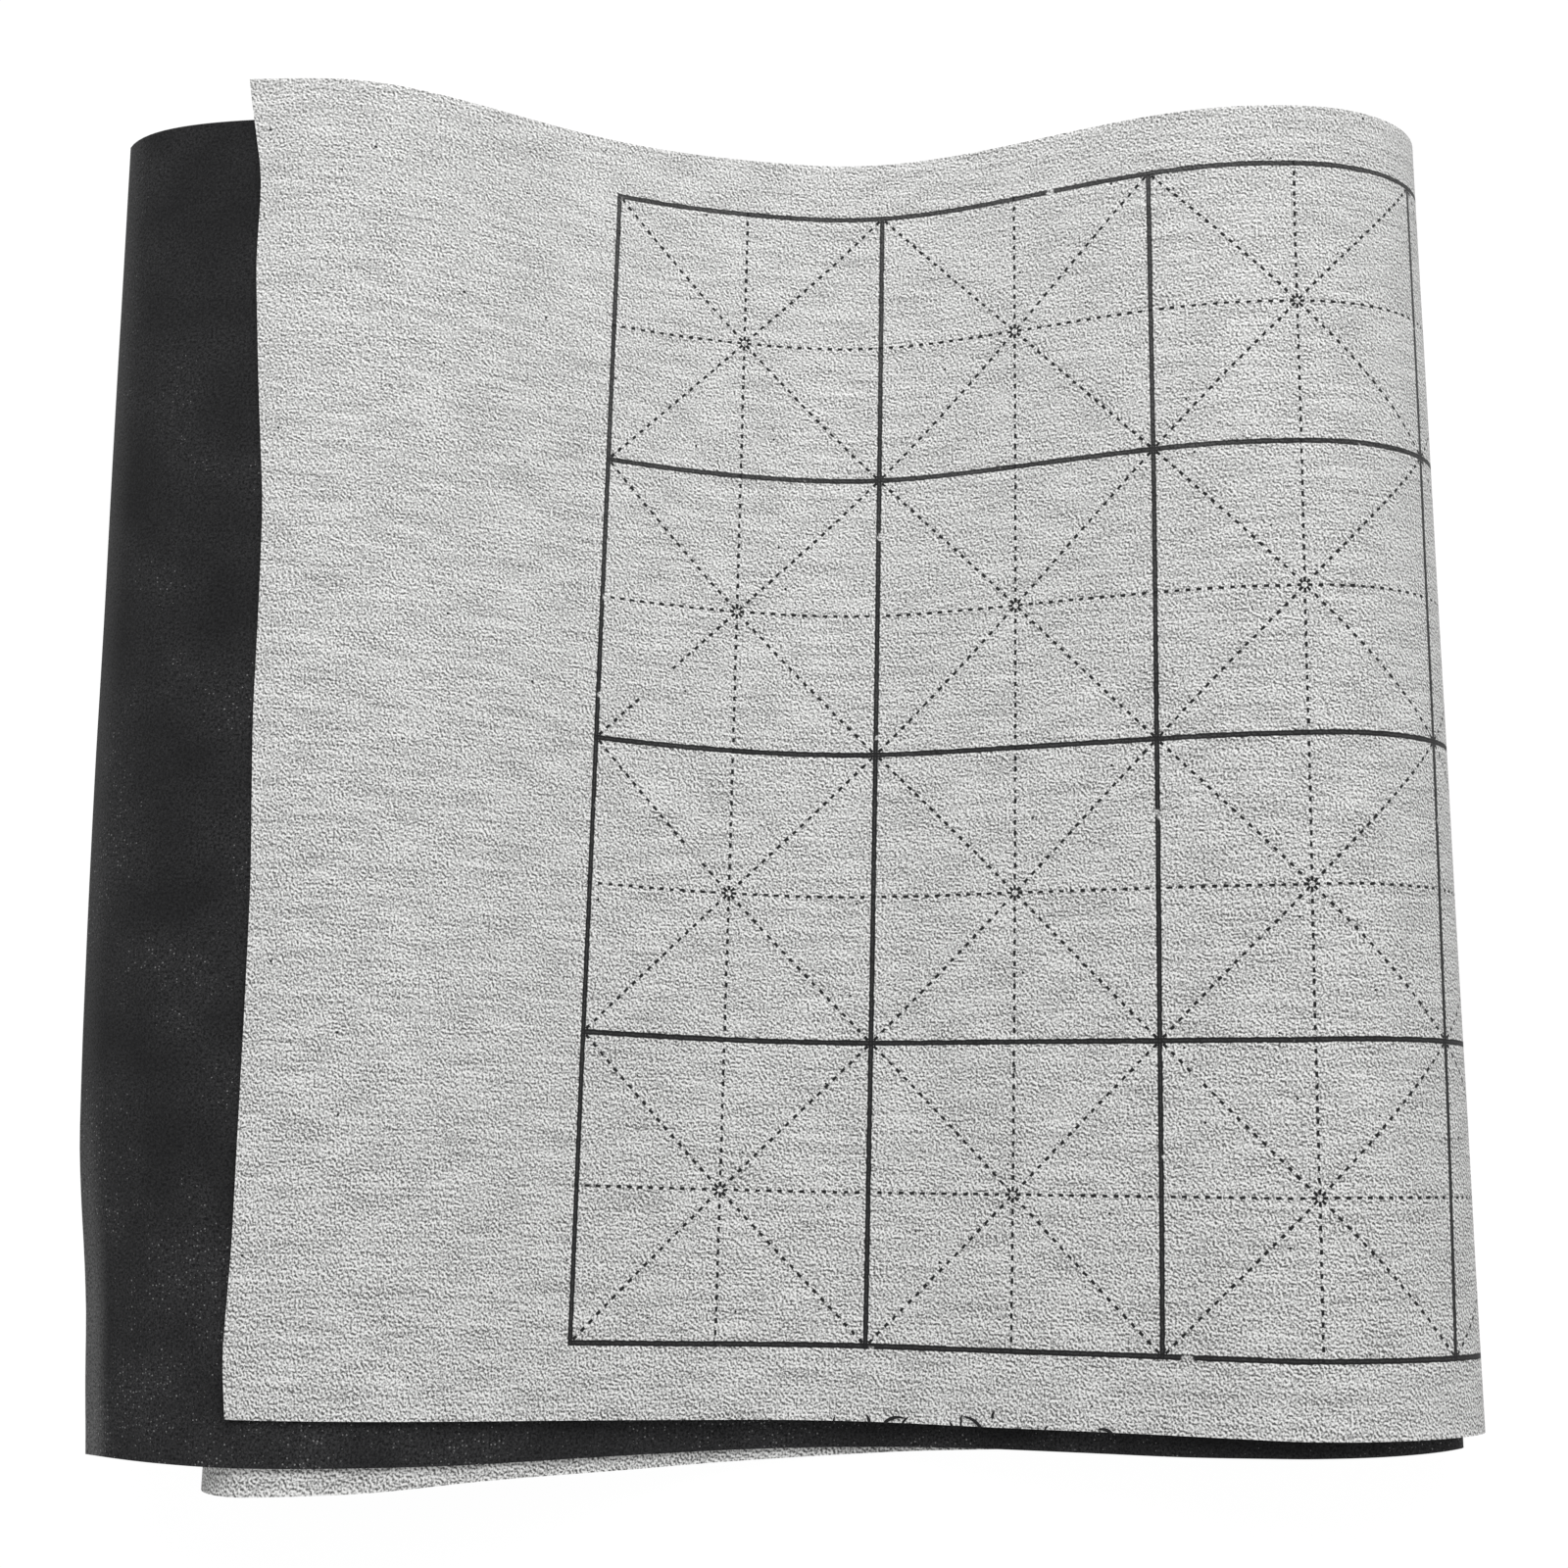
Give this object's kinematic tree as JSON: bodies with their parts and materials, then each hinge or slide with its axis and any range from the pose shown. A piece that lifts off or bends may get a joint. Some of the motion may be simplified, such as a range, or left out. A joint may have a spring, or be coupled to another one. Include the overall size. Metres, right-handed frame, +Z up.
{
  "type": "water writing cloth",
  "caption": "Long reusable cloth for practising brush calligraphy with water: pale ruled face on a black backing, lying loosely folded in leaves with round folds.",
  "frame": {"origin": "centre of the bounding box in plan, on the table under the base leaf", "axes": "+Z up from the table; +X along the strip, towards the outer fold; -Y towards the writer, along the folds"},
  "size_m": [0.3724, 0.374, 0.0559],
  "materials": {
    "face_cloth": "dry matt pale grey, fine crepe grain",
    "backing_cloth": "matt black felted",
    "ruling_ink": "matt dark grey print"
  },
  "bodies": {
    "lower_leaves": {"base_leaf_face": "face_cloth", "base_leaf_backing": "backing_cloth", "end_fold_face": "face_cloth", "end_fold_backing": "backing_cloth", "inner_leaf_face": "face_cloth", "inner_leaf_backing": "backing_cloth", "inner_leaf_ruling": "ruling_ink", "outer_fold_face": "face_cloth", "outer_fold_backing": "backing_cloth", "outer_fold_ruling": "ruling_ink", "inner_fold_face": "face_cloth", "inner_fold_backing": "backing_cloth"},
    "top_leaf": {"top_leaf_face": "face_cloth", "top_leaf_backing": "backing_cloth", "top_leaf_ruling": "ruling_ink"},
    "under_leaf": {"under_leaf_face": "face_cloth", "under_leaf_backing": "backing_cloth", "under_leaf_ruling": "ruling_ink"}
  },
  "joints": [
    {"name": "top_leaf_turn", "type": "hinge", "parent": "lower_leaves", "child": "top_leaf", "pos_m": [0.18825, 0, 0.026], "axis": [0, 1, 0], "range_deg": [0, 175], "deforming": ["outer_fold_face", "outer_fold_backing", "outer_fold_ruling"]},
    {"name": "under_leaf_turn", "type": "hinge", "parent": "lower_leaves", "child": "under_leaf", "pos_m": [0.18825, 0, 0.026], "axis": [0, 1, 0], "range_deg": [0, 175], "deforming": ["inner_fold_face", "inner_fold_backing"]}
  ],
  "couplings": [
    {"joint": "under_leaf_turn", "follows": "top_leaf_turn", "ratio": 1}
  ]
}
